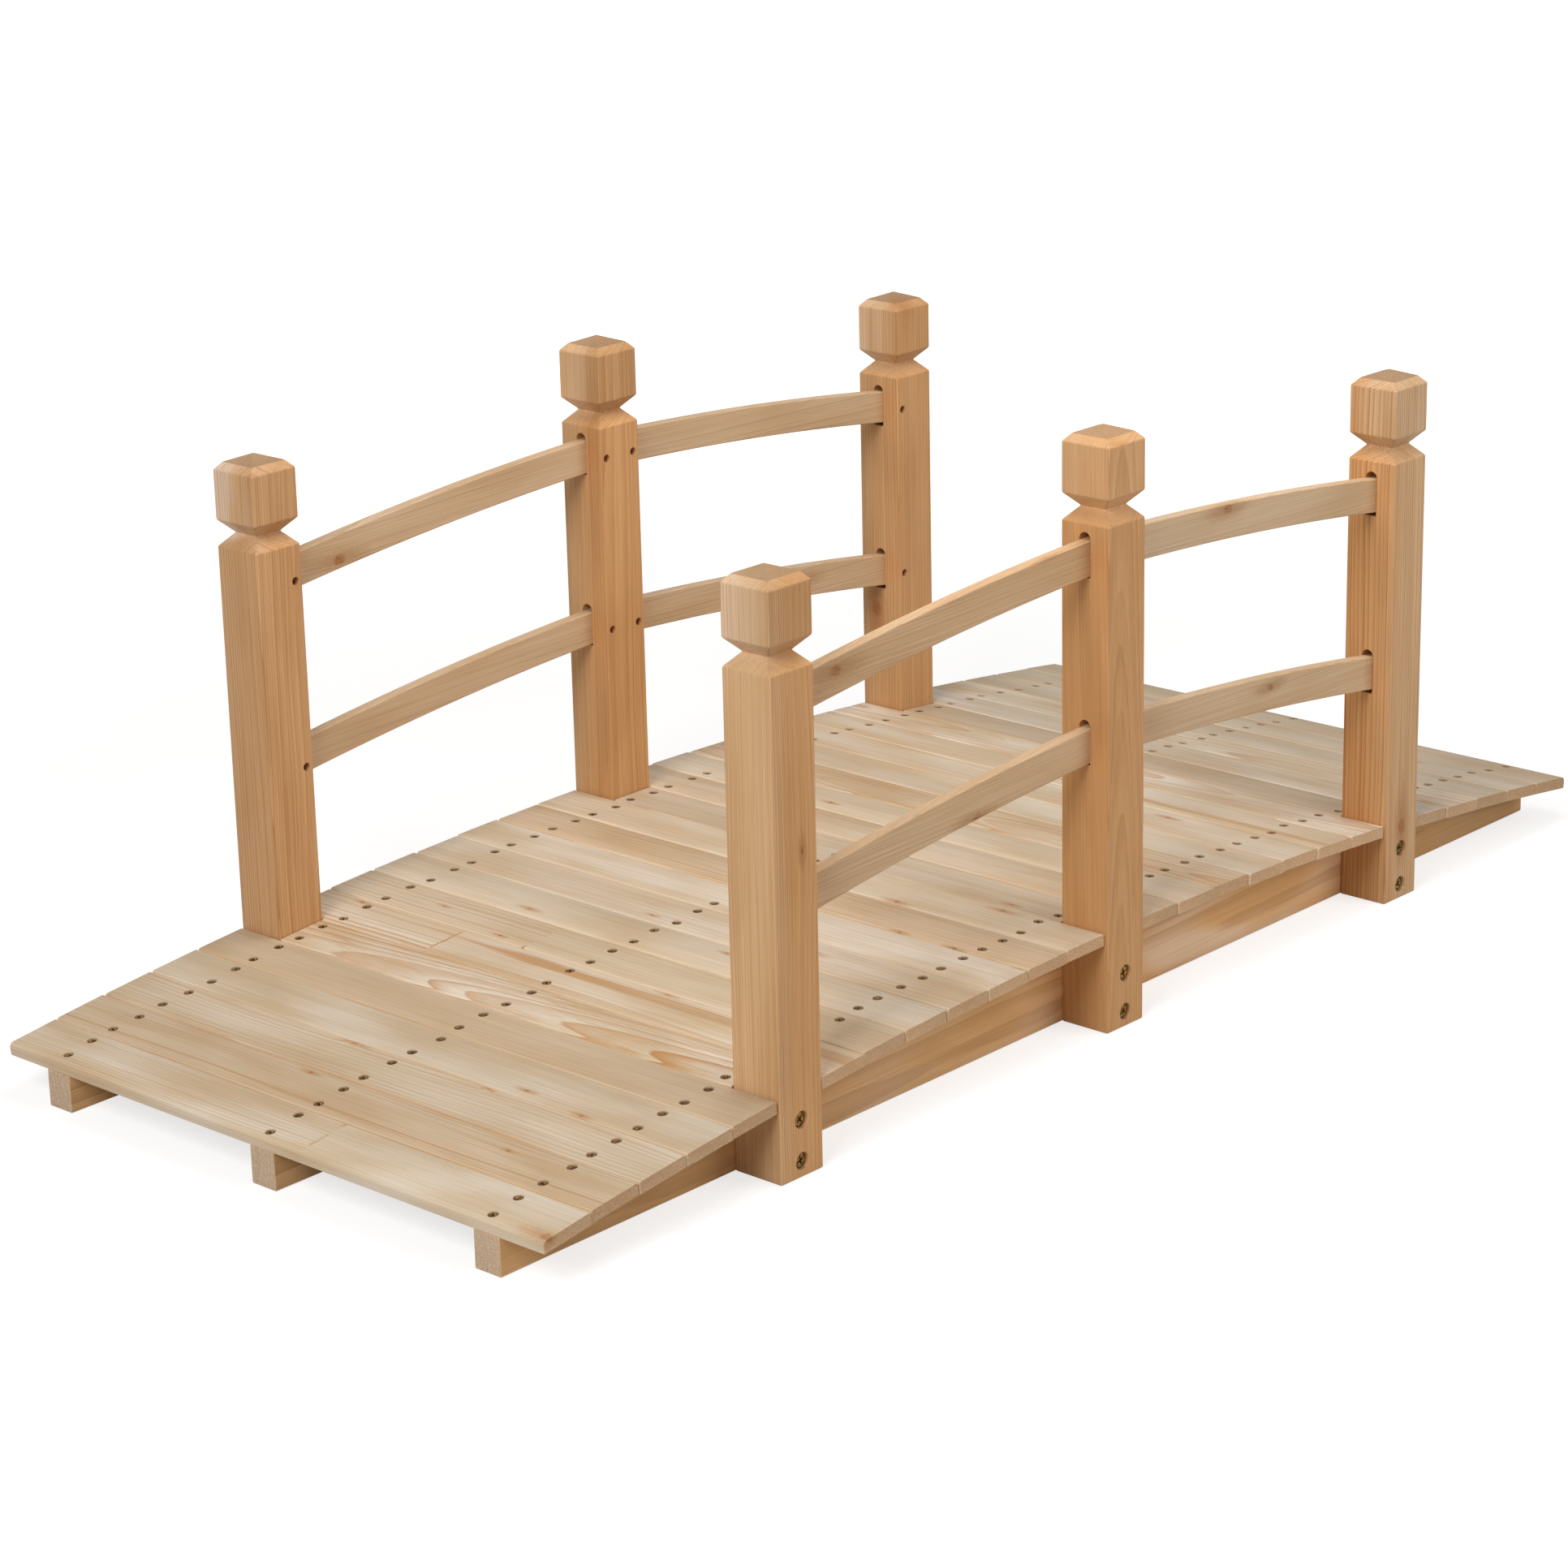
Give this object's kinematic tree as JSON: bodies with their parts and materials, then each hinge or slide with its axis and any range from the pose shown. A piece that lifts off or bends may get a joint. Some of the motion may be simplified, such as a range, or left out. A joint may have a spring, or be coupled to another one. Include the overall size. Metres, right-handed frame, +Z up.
{
  "type": "low-arch garden footbridge",
  "caption": "Wooden garden footbridge: arched plank deck on flat-bottomed stringers, with grooved, pyramid-capped posts and curved double rails on both sides.",
  "frame": {"origin": "on the ground, under the middle of the deck", "axes": "+X along the bridge, +Y across it, +Z up"},
  "size_m": [1.4994, 0.678, 0.5625],
  "materials": {
    "deck": "planed, unfinished pale softwood",
    "posts": "planed, unfinished tan softwood",
    "rails": "planed, unfinished softwood",
    "stringers": "sawn and planed softwood"
  },
  "bodies": {
    "root": {"right_stringer": "stringers", "middle_stringer": "stringers", "left_stringer": "stringers", "plank_01": "deck", "plank_02": "deck", "plank_03": "deck", "plank_04": "deck", "plank_05": "deck", "plank_06": "deck", "plank_07": "deck", "plank_08": "deck", "plank_09": "deck", "plank_10": "deck", "plank_11": "deck", "plank_12": "deck", "plank_13": "deck", "plank_14": "deck", "plank_15": "deck", "plank_16": "deck", "plank_17": "deck", "plank_18": "deck", "plank_19": "deck", "plank_20": "deck", "plank_21": "deck", "plank_22": "deck", "plank_23": "deck", "plank_24": "deck", "plank_25": "deck", "plank_26": "deck", "plank_27": "deck", "right_front_post": "posts", "right_middle_post": "posts", "right_back_post": "posts", "left_front_post": "posts", "left_middle_post": "posts", "left_back_post": "posts", "right_front_lower_rail": "rails", "right_front_upper_rail": "rails", "right_back_lower_rail": "rails", "right_back_upper_rail": "rails", "left_front_lower_rail": "rails", "left_front_upper_rail": "rails", "left_back_lower_rail": "rails", "left_back_upper_rail": "rails"}
  },
  "joints": []
}
